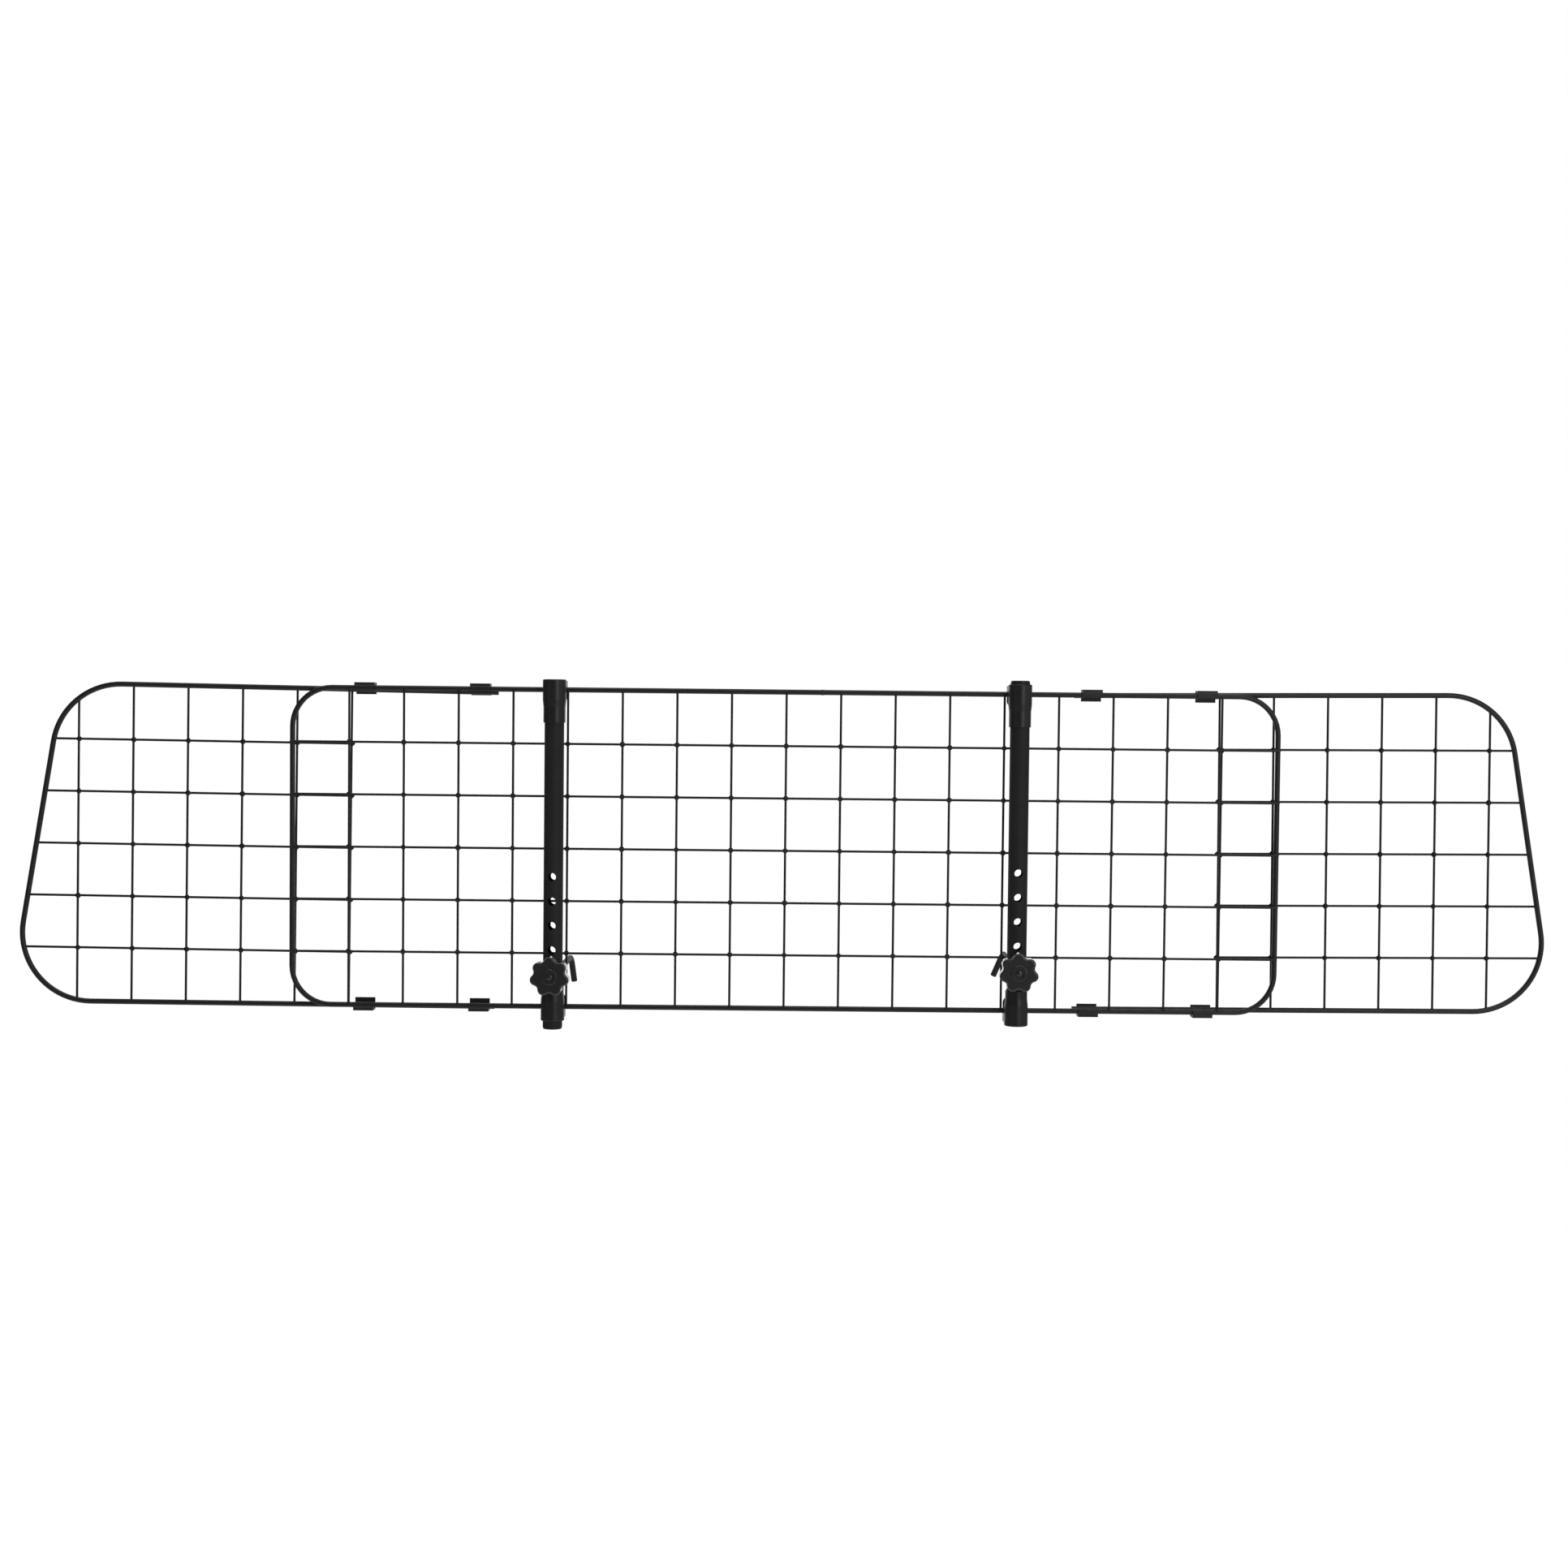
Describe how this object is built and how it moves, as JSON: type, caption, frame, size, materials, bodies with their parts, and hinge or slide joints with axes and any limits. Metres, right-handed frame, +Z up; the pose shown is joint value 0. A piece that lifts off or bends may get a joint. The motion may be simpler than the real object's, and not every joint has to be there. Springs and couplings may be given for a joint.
{
  "type": "car dog guard",
  "caption": "Black wire mesh dog guard for a car: a centre panel, two sliding side panels and two posts with star knobs and hook bolts for the head rest rods.",
  "frame": {"origin": "the middle of the centre panel, in the plane of its frame rod", "axes": "+X to the right seen from the front, +Y toward the back where the hooks point, +Z up"},
  "size_m": [1.4511, 0.174, 0.3323],
  "materials": {
    "coated_rod": "gloss",
    "coated_wire": "gloss",
    "coated_tube": "satin",
    "coated_bolt": "satin",
    "clip_plastic": "matte",
    "fitting_plastic": "matte",
    "knob_plastic": "matte",
    "insert_brass": "satin"
  },
  "bodies": {
    "centre_panel": {"centre_frame": "coated_rod", "centre_uprights": "coated_wire", "centre_crosswires": "coated_wire", "left_guide_clip_top": "clip_plastic", "left_guide_clip_bottom": "clip_plastic", "right_guide_clip_top": "clip_plastic", "right_guide_clip_bottom": "clip_plastic"},
    "left_panel": {"left_frame": "coated_rod", "left_uprights": "coated_wire", "left_crosswires": "coated_wire", "left_end_clip_top": "clip_plastic", "left_end_clip_bottom": "clip_plastic"},
    "left_post": {"left_post_tube": "coated_tube", "left_top_fitting": "fitting_plastic", "left_bottom_fitting": "fitting_plastic", "left_tube_plug": "fitting_plastic"},
    "left_knob": {"left_knob": "knob_plastic", "left_knob_insert": "insert_brass"},
    "left_hook": {"left_hook_bolt": "coated_bolt"},
    "right_panel": {"right_frame": "coated_rod", "right_uprights": "coated_wire", "right_crosswires": "coated_wire", "right_end_clip_top": "clip_plastic", "right_end_clip_bottom": "clip_plastic"},
    "right_post": {"right_post_tube": "coated_tube", "right_top_fitting": "fitting_plastic", "right_bottom_fitting": "fitting_plastic", "right_tube_plug": "fitting_plastic"},
    "right_knob": {"right_knob": "knob_plastic", "right_knob_insert": "insert_brass"},
    "right_hook": {"right_hook_bolt": "coated_bolt"}
  },
  "joints": [
    {"name": "left_panel_slide", "type": "slide", "parent": "centre_panel", "child": "left_panel", "axis": [-1, 0, 0], "range_m": [-0.024, 0.089]},
    {"name": "left_post_slide", "type": "slide", "parent": "centre_panel", "child": "left_post", "axis": [-1, 0, 0], "range_m": [-0.0065, 0.024]},
    {"name": "left_knob_turn", "type": "hinge", "parent": "left_post", "child": "left_knob", "pos_m": [-0.21853, -0.02999, -0.11755], "axis": [0.0332, 0.9995, 0], "range_deg": [-2520, 1440]},
    {"name": "left_hook_travel", "type": "slide", "parent": "left_post", "child": "left_hook", "axis": [-0.0332, -0.9995, 0], "range_m": [-0.007, 0.004]},
    {"name": "right_panel_slide", "type": "slide", "parent": "centre_panel", "child": "right_panel", "axis": [1, 0, 0], "range_m": [-0.024, 0.089]},
    {"name": "right_post_slide", "type": "slide", "parent": "centre_panel", "child": "right_post", "axis": [1, 0, 0], "range_m": [-0.0085, 0.024]},
    {"name": "right_knob_turn", "type": "hinge", "parent": "right_post", "child": "right_knob", "pos_m": [0.21932, -0.03, -0.11005], "axis": [0.0175, 0.9998, 0], "range_deg": [-2520, 1440]},
    {"name": "right_hook_travel", "type": "slide", "parent": "right_post", "child": "right_hook", "axis": [-0.0175, -0.9998, 0], "range_m": [-0.007, 0.004]}
  ],
  "couplings": [
    {"joint": "left_knob_turn", "follows": "left_hook_travel", "rad_per_m": 6283.2},
    {"joint": "right_knob_turn", "follows": "right_hook_travel", "rad_per_m": 6283.2}
  ]
}
